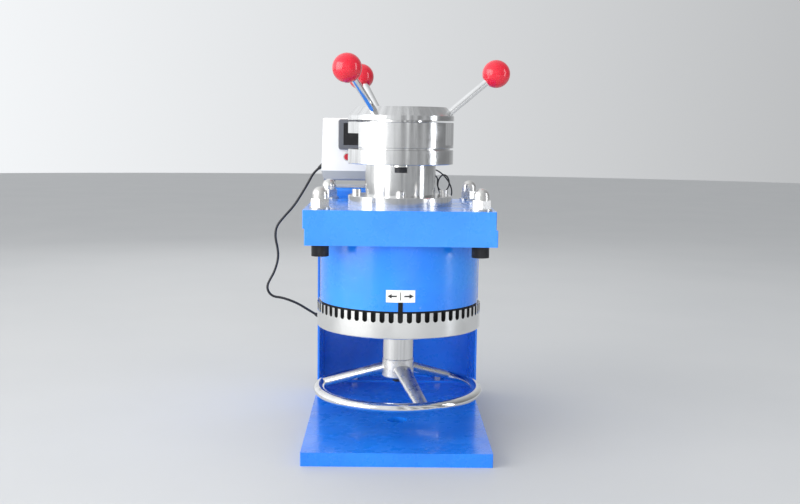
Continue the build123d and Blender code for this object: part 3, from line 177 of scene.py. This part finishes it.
def make_camera():
    data = bpy.data.cameras.new("camera")
    data.lens = CAMERA_LENS
    camera = bpy.data.objects.new("camera", data)
    bpy.context.scene.collection.objects.link(camera)
    turn = Matrix.Rotation(math.radians(CAMERA_YAW), 4, "Z")
    tilt = Matrix.Rotation(math.radians(90 + CAMERA_PITCH), 4, "X")
    roll = Matrix.Rotation(math.radians(CAMERA_ROLL), 4, "Z")
    camera.matrix_world = Matrix.Translation(CAMERA_PLACE) @ turn @ tilt @ roll
    bpy.context.scene.camera = camera


def make_cord(name, route, diameter):
    """A smooth round cord along its route, which stands for the CAD node of the same name."""
    data = bpy.data.curves.new(name, "CURVE")
    data.dimensions = "3D"
    data.bevel_depth = diameter / 2
    data.bevel_resolution = 5
    data.resolution_u = 10
    data.use_fill_caps = True
    spline = data.splines.new("NURBS")
    spline.points.add(len(route) - 1)
    for point, place in zip(spline.points, route):
        point.co = (*place, 1)
    spline.order_u = 3
    spline.use_endpoint_u = True
    cord = bpy.data.objects.new(name + "_skin", data)
    bpy.context.scene.collection.objects.link(cord)
    data.materials.append(MATERIALS["cable"])
    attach(cord, "stand")
    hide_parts(name)


# ---- Materials ------------------------------------------------------------------


class Shader:
    """One material with a Principled shader, and short calls for the nodes that feed it."""

    def __init__(self, name, colour, roughness, metallic=0.0):
        self.material = bpy.data.materials.new(name)
        self.material.use_nodes = True
        self.tree = self.material.node_tree
        self.surface = self.tree.nodes["Principled BSDF"]
        self.surface.inputs["Base Color"].default_value = (*colour, 1)
        self.surface.inputs["Roughness"].default_value = roughness
        self.surface.inputs["Metallic"].default_value = metallic
        self.place = self.node("ShaderNodeTexCoord").outputs["Object"]

    def node(self, kind, **settings):
        made = self.tree.nodes.new(kind)
        for name, value in settings.items():
            setattr(made, name, value)
        return made

    def link(self, value, socket):
        """Sets a socket to a number or colour, or links another socket to it."""
        if isinstance(value, bpy.types.NodeSocket):
            self.tree.links.new(value, socket)
        else:
            socket.default_value = value

    def math(self, operation, a, b=0.0):
        made = self.node("ShaderNodeMath", operation=operation)
        for value, socket in zip((a, b), made.inputs):
            self.link(value, socket)
        return made.outputs[0]

    def xyz(self):
        made = self.node("ShaderNodeSeparateXYZ")
        self.link(self.place, made.inputs[0])
        return made.outputs

    def join(self, x, y, z):
        made = self.node("ShaderNodeCombineXYZ")
        for value, socket in zip((x, y, z), made.inputs):
            self.link(value, socket)
        return made.outputs[0]

    def radius(self):
        """Distance from the drive axis."""
        x, y, _ = self.xyz()
        squares = self.math("ADD", self.math("MULTIPLY", x, x), self.math("MULTIPLY", y, y))
        return self.math("SQRT", squares)

    def azimuth(self):
        x, y, _ = self.xyz()
        return self.math("ARCTAN2", y, x)

    def noise(self, scale, detail, roughness=0.5, vector=None):
        made = self.node("ShaderNodeTexNoise")
        self.link(self.place if vector is None else vector, made.inputs["Vector"])
        made.inputs["Scale"].default_value = scale
        made.inputs["Detail"].default_value = detail
        made.inputs["Roughness"].default_value = roughness
        return made.outputs["Fac"]

    def span(self, value, over, to=(0.0, 1.0)):
        """Maps the range over to the range to, smoothly and clamped."""
        made = self.node("ShaderNodeMapRange", interpolation_type="SMOOTHSTEP")
        for item, socket in zip((value, *over, *to), made.inputs):
            self.link(item, socket)
        return made.outputs[0]

    def mix(self, share, a, b):
        """Mixes two colours."""
        made = self.node("ShaderNodeMix", data_type="RGBA")
        self.link(share, made.inputs[0])
        for value, socket in ((a, made.inputs[6]), (b, made.inputs[7])):
            self.link(value if isinstance(value, bpy.types.NodeSocket) else (*value, 1), socket)
        return made.outputs[2]

    def bump(self, height, distance, strength, before=None):
        made = self.node("ShaderNodeBump")
        made.inputs["Strength"].default_value = strength
        made.inputs["Distance"].default_value = distance
        self.link(height, made.inputs["Height"])
        if before is not None:
            self.link(before, made.inputs["Normal"])
        return made.outputs[0]

    def fixed(self, **values):
        """Sets sockets that are the same all over."""
        for name, value in values.items():
            self.surface.inputs[name.replace("_", " ")].default_value = value

    def set(self, **values):
        for name, value in values.items():
            self.link(value, self.surface.inputs[name.replace("_", " ")])
        return self.material


def shaded(colour, share, lift=0.0):
    return [share * value + lift for value in colour]


def enamel(name, colour, mottle, roughness=0.28):
    """Sprayed gloss enamel: orange peel, cloudy colour, rubbed and chipped spots."""
    look = Shader(name, colour, roughness)
    cloud = look.noise(scale=9.0, detail=5.0, roughness=0.6)
    shade = look.mix(look.span(cloud, over=(0.35, 0.7)), colour, mottle)
    scuff = look.span(look.noise(scale=55.0, detail=8.0, roughness=0.75), over=(0.66, 0.72))
    scuffed = look.mix(look.math("MULTIPLY", scuff, 0.35), shade, shaded(colour, 0.5, lift=0.25))
    chip = look.span(look.noise(scale=140.0, detail=4.0, roughness=0.6), over=(0.76, 0.78))
    chipped = look.mix(look.math("MULTIPLY", chip, 0.6), scuffed, (0.02, 0.025, 0.035))
    peel = look.bump(look.noise(scale=260.0, detail=2.0), distance=0.00012, strength=0.5)
    dents = look.bump(look.noise(scale=22.0, detail=3.0), distance=0.0012, strength=0.35, before=peel)
    wear = look.noise(scale=30.0, detail=6.0, roughness=0.65)
    rough = look.span(wear, over=(0.35, 0.75), to=(roughness - 0.06, roughness + 0.16))
    look.fixed(Coat_Weight=0.55, Coat_Roughness=0.12)
    return look.set(Base_Color=chipped, Roughness=rough, Normal=dents)


def turned_metal(name, colour, roughness, ring_pitch=0.0007, painted_reflection_share=0.35):
    """Metal turned about the drive axis: faint tool rings, upright streaks of painted reflection in the
    colour (the same bands also vary the roughness), and finger marks.
    """
    look = Shader(name, colour, roughness, 1.0)
    _, _, z = look.xyz()
    ring_out = look.math("DIVIDE", look.radius(), ring_pitch)
    ring_up = look.math("DIVIDE", z, ring_pitch)
    across = look.join(ring_out, 0.0, ring_up)
    lines = look.noise(scale=1.0, detail=4.0, roughness=0.7, vector=across)
    around = look.join(look.math("MULTIPLY", look.azimuth(), 9.0), look.math("MULTIPLY", z, 6.0), 0.0)
    sheen = look.noise(scale=1.0, detail=4.0, roughness=0.6, vector=around)
    smear = look.noise(scale=35.0, detail=5.0, roughness=0.6)
    # painted reflection: the colour is darkened in upright bands round the axis, standing in for reflected
    # streaks of light
    painted_reflection_streaks = look.mix(look.span(sheen, over=(0.35, 0.68), to=(0.0, painted_reflection_share)), colour, shaded(colour, 0.45))
    lined = look.mix(look.span(lines, over=(0.3, 0.75), to=(0.0, 0.07)), painted_reflection_streaks, shaded(colour, 0.5))
    worn = look.span(smear, over=(0.3, 0.8), to=(roughness - 0.03, roughness + 0.07))
    rough = look.math("ADD", worn, look.span(sheen, over=(0.3, 0.7), to=(-0.03, 0.04)))
    rings = look.bump(lines, distance=0.00003, strength=0.12)
    tangent = look.node("ShaderNodeTangent", direction_type="RADIAL", axis="Z")
    look.fixed(Anisotropic=0.6)
    return look.set(Base_Color=lined, Roughness=rough, Normal=rings, Tangent=tangent.outputs[0])


def polished_metal(name, colour, roughness, wave=0.0004):
    """Bright plated or polished metal: slight ripple, hairline scratches and dull patches."""
    look = Shader(name, colour, roughness, 1.0)
    patches = look.noise(scale=40.0, detail=6.0, roughness=0.65)
    hairs = look.noise(scale=900.0, detail=3.0, roughness=0.7)
    tint = look.mix(look.span(patches, over=(0.4, 0.75), to=(0.0, 0.5)), colour, shaded(colour, 0.78))
    worn = look.span(patches, over=(0.4, 0.8), to=(roughness, roughness + 0.12))
    rough = look.math("ADD", worn, look.span(hairs, over=(0.55, 0.8), to=(0.0, 0.05)))
    ripple = look.bump(look.noise(scale=28.0, detail=2.0), distance=wave, strength=0.25)
    return look.set(Base_Color=tint, Roughness=rough, Normal=ripple)


def cast_metal(name, colour, roughness):
    """Plated casting: satin skin with fine pits, brighter where hands rub it."""
    look = Shader(name, colour, roughness, 1.0)
    pits = look.noise(scale=520.0, detail=4.0, roughness=0.7)
    body = look.noise(scale=70.0, detail=4.0, roughness=0.6)
    tint = look.mix(look.span(pits, over=(0.3, 0.6), to=(0.5, 0.0)), colour, shaded(colour, 0.5))
    skin = look.bump(pits, distance=0.00018, strength=0.7)
    lumps = look.bump(body, distance=0.0006, strength=0.5, before=skin)
    rough = look.span(body, over=(0.35, 0.7), to=(roughness - 0.1, roughness + 0.12))
    return look.set(Base_Color=tint, Roughness=rough, Normal=lumps)


def flutes(look, spot, count=48):
    """Wave round each of the four upright axes at (+-spot, +-spot)."""
    x, y, _ = look.xyz()
    near_x = look.math("SUBTRACT", look.math("ABSOLUTE", x), spot)
    near_y = look.math("SUBTRACT", look.math("ABSOLUTE", y), spot)
    return look.math("SINE", look.math("MULTIPLY", look.math("ARCTAN2", near_y, near_x), count))


def oxide(name, colour, roughness, spot=None):
    """Blackened steel, rubbed bright in places; with spot, heads at (+-spot, +-spot) are fluted."""
    look = Shader(name, colour, roughness, 0.6)
    speck = look.noise(scale=420.0, detail=5.0, roughness=0.7)
    rub = look.noise(scale=80.0, detail=5.0, roughness=0.6)
    tint = look.mix(look.span(rub, over=(0.5, 0.75), to=(0.0, 0.6)), colour, shaded(colour, 4.0))
    skin = look.bump(speck, distance=0.00008, strength=0.6)
    if spot is not None:
        skin = look.bump(flutes(look, spot), distance=0.0004, strength=1.0, before=skin)
    rough = look.span(speck, over=(0.3, 0.7), to=(roughness - 0.08, roughness + 0.12))
    return look.set(Base_Color=tint, Roughness=rough, Normal=skin)


def ball_plastic(name, colour, roughness=0.22):
    """Pressed glossy resin: deep colour, faint swirl, handling scratches."""
    look = Shader(name, colour, roughness)
    swirl = look.noise(scale=24.0, detail=4.0, roughness=0.55)
    tint = look.mix(look.span(swirl, over=(0.35, 0.7), to=(0.0, 0.6)), colour, shaded(colour, 0.62))
    scratches = look.noise(scale=260.0, detail=6.0, roughness=0.8)
    rough = look.span(scratches, over=(0.5, 0.75), to=(roughness, roughness + 0.1))
    skin = look.bump(look.noise(scale=40.0, detail=2.0), distance=0.0002, strength=0.2)
    look.fixed(Coat_Weight=0.35, Coat_Roughness=0.12)
    return look.set(Base_Color=tint, Roughness=rough, Normal=skin)


def case_plastic(name, colour, roughness, grain=0.00006):
    """Moulded case: spark-eroded grain, slight yellowing and dust."""
    look = Shader(name, colour, roughness)
    grime = look.noise(scale=14.0, detail=6.0, roughness=0.65)
    yellowed = [value * share for value, share in zip(colour, (0.82, 0.8, 0.74))]
    tint = look.mix(look.span(grime, over=(0.4, 0.8), to=(0.0, 0.35)), colour, yellowed)
    skin = look.bump(look.noise(scale=1100.0, detail=2.0, roughness=0.6), distance=grain, strength=0.9)
    wear = look.noise(scale=60.0, detail=4.0)
    rough = look.span(wear, over=(0.3, 0.7), to=(roughness - 0.06, roughness + 0.08))
    return look.set(Base_Color=tint, Roughness=rough, Normal=skin)


def screen_plastic(name):
    """Smoked display window, with dust and wipe marks."""
    look = Shader(name, (0.012, 0.011, 0.013), 0.08)
    specks = look.noise(scale=900.0, detail=5.0, roughness=0.8)
    dust = look.span(specks, over=(0.62, 0.75), to=(0.0, 0.5))
    tint = look.mix(dust, (0.010, 0.009, 0.011), (0.06, 0.06, 0.065))
    smear = look.noise(scale=40.0, detail=4.0, roughness=0.7)
    wipe = look.span(smear, over=(0.4, 0.8), to=(0.05, 0.25))
    return look.set(Base_Color=tint, Roughness=wipe)


def rubber(name, colour, roughness):
    """Black rubber or cable sheath with a grey bloom."""
    look = Shader(name, colour, roughness)
    bloom = look.noise(scale=90.0, detail=5.0, roughness=0.7)
    tint = look.mix(look.span(bloom, over=(0.45, 0.8), to=(0.0, 0.6)), colour, shaded(colour, 2.6))
    skin = look.bump(look.noise(scale=1400.0, detail=2.0), distance=0.00005, strength=0.7)
    rough = look.span(bloom, over=(0.3, 0.7), to=(roughness - 0.08, roughness + 0.12))
    return look.set(Base_Color=tint, Roughness=rough, Normal=skin)


def paper(name):
    """Glossy white label stock, a little yellow in patches."""
    look = Shader(name, (0.86, 0.86, 0.84), 0.4)
    fibre = look.noise(scale=1300.0, detail=4.0, roughness=0.7)
    patch = look.span(look.noise(scale=60.0, detail=4.0), over=(0.4, 0.8), to=(0.0, 0.5))
    tint = look.mix(patch, (0.88, 0.88, 0.86), (0.72, 0.7, 0.62))
    return look.set(Base_Color=tint, Normal=look.bump(fibre, distance=0.00003, strength=0.6))


def print_ink(name):
    """Black printing, thin in spots."""
    look = Shader(name, (0.02, 0.02, 0.022), 0.5)
    grain = look.noise(scale=1500.0, detail=4.0, roughness=0.8)
    thin = look.span(grain, over=(0.55, 0.75), to=(0.0, 0.8))
    return look.set(Base_Color=look.mix(thin, (0.015, 0.015, 0.017), (0.12, 0.12, 0.12)))


def floor_material():
    look = Shader("pale_floor", (0.50, 0.51, 0.52), 0.6)
    tone = look.mix(look.noise(scale=3.0, detail=4.0), (0.48, 0.49, 0.50), (0.53, 0.535, 0.54))
    grain = look.bump(look.noise(scale=300.0, detail=3.0), distance=0.0001, strength=0.4)
    return look.set(Base_Color=tone, Normal=grain)


TIE_SCREW_SPOT = 0.1095  # the four tie screws stand at plus and minus this in x and y
BLACKENED = (0.022, 0.022, 0.024)
MATERIALS = {
    # painted light: the head plates get a lighter copy of the same blue paint as the base and column,
    # standing in for the strong light on their front faces
    "plate_blue_painted_light": enamel("plate_blue_painted_light", (0.030, 0.260, 0.880), (0.020, 0.215, 0.800)),
    "body_blue": enamel("body_blue", (0.010, 0.215, 0.860), (0.006, 0.160, 0.740)),
    "housing_blue": enamel("housing_blue", (0.008, 0.200, 0.830), (0.010, 0.250, 0.800), 0.22),
    "turned": turned_metal("turned_steel", (0.80, 0.80, 0.80), 0.15),
    "ground": turned_metal("ground_steel", (0.6, 0.61, 0.62), 0.28),
    "polished": polished_metal("polished_steel", (0.82, 0.82, 0.81), 0.12),
    "chrome": polished_metal("chrome_plate", (0.86, 0.86, 0.86), 0.06, 0.0002),
    "nickel": polished_metal("nickel_plate", (0.83, 0.82, 0.80), 0.26, 0.0005),
    "zinc": polished_metal("zinc_plate", (0.74, 0.74, 0.72), 0.24, 0.0006),
    "cast": cast_metal("plated_casting", (0.78, 0.77, 0.76), 0.34),
    "oxide": oxide("black_oxide", BLACKENED, 0.42),
    "tie_oxide": oxide("black_oxide_fluted", BLACKENED, 0.42, TIE_SCREW_SPOT),
    # near-black plate closing the housing's bottom, as dark as the space behind the drum's slots
    "dark_plate": oxide("near_black_plate", (0.012, 0.012, 0.013), 0.55),
    "bronze": turned_metal("bronze", (0.68, 0.45, 0.22), 0.3),
    "red": ball_plastic("red_resin", (0.72, 0.012, 0.035)),
    "button_red": ball_plastic("red_button", (0.55, 0.006, 0.025)),
    "white_case": case_plastic("white_case", (0.84, 0.84, 0.83), 0.45),
    # painted shade: the lower shell is a grey copy of the white case, standing in for the shade under the
    # case's front
    "grey_case": case_plastic("grey_case", (0.36, 0.38, 0.41), 0.5),
    "bezel": case_plastic("bezel_grey", (0.13, 0.135, 0.15), 0.42, 0.00004),
    "screen": screen_plastic("screen"),
    "rubber": rubber("black_rubber", (0.014, 0.014, 0.015), 0.6),
    "cable": rubber("cable_sheath", (0.010, 0.010, 0.011), 0.42),
    "paper": paper("label_paper"),
    "ink": print_ink("label_ink"),
    "tape": oxide("pointer_tape", (0.012, 0.012, 0.013), 0.6),
}
FINISHES = {
    "plate_blue_painted_light": ["upper_head_plate", "lower_head_plate", "box_support"],
    "body_blue": ["base_plate", "column"],
    "housing_blue": ["cylinder_housing"],
    "turned": ["neck", "seat_disc", "chuck_body", "clamp_nut", "pressure_ring", "drive_sleeve"],
    "ground": [
        "spindle", "hub_key", "plunger", "guide_pin", "collet", "bearing_outer_race", "bearing_inner_race",
        "bearing_balls", "thrust_race_lower", "thrust_race_upper", "thrust_balls",
    ],
    "polished": ["index_drum"],
    "nickel": ["dome_nuts", "flange_screws"],
    "chrome": ["handwheel_ring", "lever_rods", "button_guide"],
    "zinc": ["tie_washers", "clamp_washers", "foot_bolts", "sensor_bracket", "wire_clip"],
    "cast": ["handwheel_hub", "handwheel_spokes"],
    "oxide": ["clamp_bolts", "retaining_screw"],
    "tie_oxide": ["tie_screws"],
    "dark_plate": ["bearing_plate"],
    "bronze": ["feed_nut", "neck_bushes", "plunger_tip", "slot_sensor", "sensor_nuts"],
    "red": ["lever_knobs"],
    "button_red": ["reset_button"],
    "white_case": ["box_cover"],
    "grey_case": ["box_base"],
    "bezel": ["meter_case"],
    "screen": ["meter_window"],
    "rubber": ["box_feet", "shaft_seal", "lead_glands", "wire_glands"],
    "cable": ["sensor_lead", "sensor_tail", "probe_wire"],
    "paper": ["pointer_label"],
    "tape": ["pointer"],
}


def assign_finishes():
    for finish, names in FINISHES.items():
        for name in names:
            data = nodes[name].data
            data.materials.clear()
            data.materials.append(MATERIALS[finish])


def soften_edges():
    """A small worn radius on the edges of the plates, sheet and cases."""
    for name, width in SOFT_EDGES.items():
        edge = nodes[name].modifiers.new("edge", "BEVEL")
        edge.width = width
        edge.segments = 2
        edge.limit_method = "ANGLE"


def arrow_outline(side):
    """An arrow along the label, pointing right (side 1) or left (side -1), from its tail to its tip."""
    centre = LABEL_CENTRE + side * ARROW_OFFSET
    tail = centre - side * ARROW_REACH
    neck = centre + side * ARROW_NECK * ARROW_REACH
    tip = centre + side * ARROW_REACH
    barb = neck + side * ARROW_TIP
    return [(tail, ARROW_SHAFT), (neck, ARROW_SHAFT), (barb, ARROW_HEAD), (tip, ARROW_TIP)]


def tick_outline():
    edges = (LABEL_CENTRE - TICK_HALF_WIDTH, LABEL_CENTRE + TICK_HALF_WIDTH)
    return [(edge, TICK_HALF_HEIGHT) for edge in edges]


def outline_rows(outline, steps=8):
    """Points along an outline, close enough together to bend round the label."""
    rows = []
    for (start, low), (end, high) in zip(outline, outline[1:]):
        for step in range(steps):
            share = step / steps
            rows.append((start + (end - start) * share, low + (high - low) * share))
    return rows + outline[-1:]


def printed_mark(outline):
    """Thin bent strip on the label: its outline is (place along the label, half height) pairs."""
    solid = bmesh.new()
    rings = []
    for along, half in outline_rows(outline):
        angle = along / LABEL_RADIUS
        ring = []
        for lift, z in ((0, -half), (MARK_THICKNESS, -half), (MARK_THICKNESS, half), (0, half)):
            reach = LABEL_RADIUS + lift
            place = (reach * math.sin(angle), -reach * math.cos(angle), LABEL_HEIGHT + z)
            ring.append(solid.verts.new(place))
        rings.append(ring)
    for one, two in zip(rings, rings[1:]):
        for i in range(4):
            solid.faces.new((one[i], one[(i + 1) % 4], two[(i + 1) % 4], two[i]))
    solid.faces.new(rings[0])
    solid.faces.new(rings[-1][::-1])
    bmesh.ops.recalc_face_normals(solid, faces=solid.faces)
    return solid


def make_label_marks():
    """Turn-left and turn-right arrows and a centre tick, printed on the label."""
    outlines = [arrow_outline(-1), arrow_outline(1), tick_outline()]
    for number, outline in enumerate(outlines):
        add_piece(f"label_mark_{number}", printed_mark(outline), "ink", "stand")


def add_piece(name, solid, finish, body):
    """Turns a bmesh into a piece that rides on a body."""
    mesh = bpy.data.meshes.new(name)
    solid.to_mesh(mesh)
    solid.free()
    piece = bpy.data.objects.new(name, mesh)
    bpy.context.scene.collection.objects.link(piece)
    mesh.materials.append(MATERIALS[finish])
    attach(piece, body)


# ---- Stage ------------------------------------------------------------------------


def make_floor():
    mesh = bpy.data.meshes.new("floor")
    solid = bmesh.new()
    bmesh.ops.create_circle(solid, cap_ends=True, segments=FLOOR_SIDES, radius=FLOOR_RADIUS)
    solid.to_mesh(mesh)
    solid.free()
    floor = bpy.data.objects.new("floor", mesh)
    floor.location.z = cad_box[0][2]
    bpy.context.scene.collection.objects.link(floor)
    mesh.materials.append(floor_material())


def area_light(name, place, target, size, power, colour, mirrored):
    data = bpy.data.lights.new(name, "AREA")
    data.shape = "RECTANGLE"
    data.size, data.size_y = size
    data.energy = power
    data.color = colour
    light = bpy.data.objects.new(name, data)
    light.location = place
    light.visible_glossy = mirrored
    aim = Vector(target) - Vector(place)
    light.rotation_euler = aim.to_track_quat("-Z", "Y").to_euler()
    bpy.context.scene.collection.objects.link(light)


def make_world():
    """Soft grey studio: bright to the left, darker with upright bands to the front right."""
    world = bpy.data.worlds.new("studio")
    bpy.context.scene.world = world
    world.use_nodes = True
    tree = world.node_tree

    def node(kind, *values, **settings):
        """A node with its first inputs linked or set in order; None leaves an input alone."""
        made = tree.nodes.new(kind)
        for name, value in settings.items():
            setattr(made, name, value)
        for value, socket in zip(values, made.inputs):
            if isinstance(value, bpy.types.NodeSocket):
                tree.links.new(value, socket)
            elif value is not None:
                socket.default_value = value
        return made

    def ramp(value, over, to):
        return node("ShaderNodeMapRange", value, *over, *to).outputs[0]

    place = node("ShaderNodeTexCoord").outputs["Generated"]
    x, y, _ = node("ShaderNodeSeparateXYZ", place).outputs
    azimuth = node("ShaderNodeMath", y, x, operation="ARCTAN2").outputs[0]
    across = node("ShaderNodeCombineXYZ", azimuth, 0.0, 0.0).outputs[0]
    bands = node("ShaderNodeTexNoise", across)
    bands.inputs["Scale"].default_value = BAND_SCALE
    bands.inputs["Detail"].default_value = 2.0
    level = ramp(bands.outputs["Fac"], over=(0.38, 0.62), to=(BAND_DARK, BAND_BRIGHT))
    right = ramp(x, over=(-0.25, 0.35), to=(0.0, 1.0))
    front = ramp(y, over=(0.25, -0.1), to=(0.0, 1.0))
    where = node("ShaderNodeMath", right, front, operation="MULTIPLY").outputs[0]
    plain = ramp(x, over=(-0.9, 0.9), to=(SKY_LEFT, SKY_RIGHT))
    banded = node("ShaderNodeMath", plain, level, operation="MULTIPLY").outputs[0]
    mixed = node("ShaderNodeMix", where, None, plain, banded).outputs[0]
    tree.links.new(mixed, tree.nodes["Background"].inputs["Strength"])
    tree.nodes["Background"].inputs["Color"].default_value = SKY_COLOUR


make_camera()
make_cord("sensor_lead", SENSOR_LEAD, LEAD_DIAMETER)
make_cord("sensor_tail", SENSOR_TAIL, LEAD_DIAMETER)
make_cord("probe_wire", PROBE_WIRE, WIRE_DIAMETER)
assign_finishes()
soften_edges()
make_label_marks()
make_floor()
for light in LIGHTS:
    area_light(*light)
make_world()
bpy.context.scene.view_settings.view_transform = "Standard"
